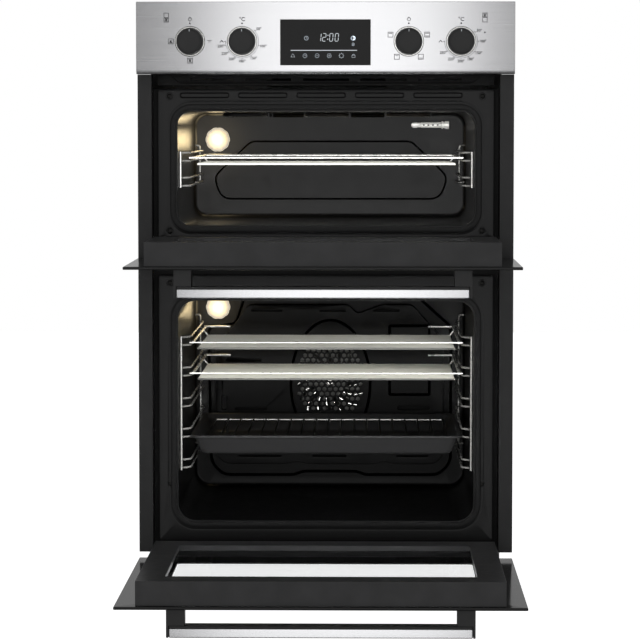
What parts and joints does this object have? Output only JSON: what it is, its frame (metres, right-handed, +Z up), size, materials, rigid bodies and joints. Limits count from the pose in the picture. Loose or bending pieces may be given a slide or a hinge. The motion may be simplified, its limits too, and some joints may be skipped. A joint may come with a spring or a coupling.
{
  "type": "built-in double wall oven",
  "caption": "Built-in double electric oven: two enamelled cavities with drop-down glass doors under a control panel with knobs and a clock, shelves and a grill pan.",
  "frame": {"origin": "centre of the underside of the casing, where it stands on the housing shelf", "axes": "+Z up, -Y out of the front towards the cook, +X to the right when looking at the front"},
  "size_m": [0.594, 1.0172, 0.9282],
  "materials": {
    "galvanised_steel": "matt zinc coating",
    "black_painted_steel": "satin black",
    "black_enamel": "gloss vitreous enamel with fine flecks",
    "stainless_steel": "fine horizontal brushing",
    "chrome_wire": "polished",
    "black_glass": "toughened, printed black behind",
    "clear_glass": "clear toughened",
    "lamp_glass": "moulded, lit from behind",
    "black_plastic": "fine texture",
    "seal": "woven sleeve over a rubber cord",
    "circuit_board": "green solder resist",
    "heating_element": "oxidised steel sheath",
    "fan_metal": "satin"
  },
  "bodies": {
    "casing": {"base_panel": "galvanised_steel", "side_panel_left": "galvanised_steel", "side_panel_right": "galvanised_steel", "top_cover": "galvanised_steel", "back_cover": "galvanised_steel", "terminal_box": "black_plastic", "trim_left": "black_painted_steel", "trim_right": "black_painted_steel", "front_frame": "black_painted_steel", "upper_face_plate": "black_enamel", "lower_face_plate": "black_enamel", "upper_door_seal": "seal", "lower_door_seal": "seal", "upper_cavity": "black_enamel", "lower_cavity": "black_enamel", "upper_lamp_cover": "lamp_glass", "lower_lamp_cover": "lamp_glass", "temperature_sensor": "chrome_wire", "grill_element": "heating_element", "fan_cover": "black_enamel", "fan_motor": "galvanised_steel", "ring_element": "heating_element", "blower_housing": "galvanised_steel", "air_outlet_grille": "black_painted_steel", "control_panel": "stainless_steel", "display_glass": "black_glass", "display_module": "circuit_board", "switch_carrier": "galvanised_steel", "upper_rack_left": "chrome_wire", "upper_rack_right": "chrome_wire", "lower_rack_left": "chrome_wire", "lower_rack_right": "chrome_wire", "upper_hinge_left": "galvanised_steel", "upper_hinge_right": "galvanised_steel", "lower_hinge_left": "galvanised_steel", "lower_hinge_right": "galvanised_steel"},
    "upper_door": {"upper_door_glass": "black_glass", "upper_door_frame": "black_painted_steel", "upper_door_inner_glass": "clear_glass", "upper_handle_bar": "stainless_steel", "upper_handle_bracket_left": "black_plastic", "upper_handle_bracket_right": "black_plastic"},
    "lower_door": {"lower_door_glass": "black_glass", "lower_door_frame": "black_painted_steel", "lower_door_inner_glass": "clear_glass", "lower_handle_bar": "stainless_steel", "lower_handle_bracket_left": "black_plastic", "lower_handle_bracket_right": "black_plastic"},
    "left_function_knob": {"left_function_knob": "black_plastic"},
    "left_temperature_knob": {"left_temperature_knob": "black_plastic"},
    "right_function_knob": {"right_function_knob": "black_plastic"},
    "right_temperature_knob": {"right_temperature_knob": "black_plastic"},
    "upper_shelf": {"upper_shelf": "chrome_wire"},
    "lower_shelf_top": {"lower_shelf_top": "chrome_wire"},
    "lower_shelf_middle": {"lower_shelf_middle": "chrome_wire"},
    "grill_pan": {"grill_pan": "black_enamel"},
    "trivet": {"trivet": "chrome_wire"},
    "fan_wheel": {"fan_wheel": "fan_metal"},
    "blower_rotor": {"blower_rotor": "fan_metal"}
  },
  "joints": [
    {"name": "upper_door_hinge", "type": "hinge", "parent": "casing", "child": "upper_door", "pos_m": [0, -0.282, 0.4935], "axis": [-1, 0, 0], "range_deg": [0, 90]},
    {"name": "lower_door_hinge", "type": "hinge", "parent": "casing", "child": "lower_door", "pos_m": [0, -0.282, 0.0155], "axis": [-1, 0, 0], "range_deg": [0, 90]},
    {"name": "left_function_knob_turn", "type": "hinge", "parent": "casing", "child": "left_function_knob", "pos_m": [-0.2124, -0.3, 0.826], "axis": [0, 1, 0], "continuous": true},
    {"name": "left_temperature_knob_turn", "type": "hinge", "parent": "casing", "child": "left_temperature_knob", "pos_m": [-0.1306, -0.3, 0.826], "axis": [0, 1, 0], "range_deg": [0, 280]},
    {"name": "right_function_knob_turn", "type": "hinge", "parent": "casing", "child": "right_function_knob", "pos_m": [0.1306, -0.3, 0.826], "axis": [0, 1, 0], "continuous": true},
    {"name": "right_temperature_knob_turn", "type": "hinge", "parent": "casing", "child": "right_temperature_knob", "pos_m": [0.2124, -0.3, 0.826], "axis": [0, 1, 0], "range_deg": [0, 280]},
    {"name": "upper_shelf_slide", "type": "slide", "parent": "casing", "child": "upper_shelf", "axis": [0, 1, 0], "range_m": [-0.25, 0]},
    {"name": "lower_shelf_top_slide", "type": "slide", "parent": "casing", "child": "lower_shelf_top", "axis": [0, 1, 0], "range_m": [-0.25, 0]},
    {"name": "lower_shelf_middle_slide", "type": "slide", "parent": "casing", "child": "lower_shelf_middle", "axis": [0, 1, 0], "range_m": [-0.25, 0]},
    {"name": "grill_pan_slide", "type": "slide", "parent": "casing", "child": "grill_pan", "axis": [0, 1, 0], "range_m": [-0.25, 0]},
    {"name": "trivet_lift", "type": "slide", "parent": "grill_pan", "child": "trivet", "axis": [0, 0, 1], "range_m": [0, 0.05]},
    {"name": "fan_spin", "type": "hinge", "parent": "casing", "child": "fan_wheel", "pos_m": [0, 0.18, 0.247], "axis": [0, 1, 0], "continuous": true},
    {"name": "blower_spin", "type": "hinge", "parent": "casing", "child": "blower_rotor", "pos_m": [0, 0.12, 0.806], "axis": [1, 0, 0], "continuous": true}
  ]
}
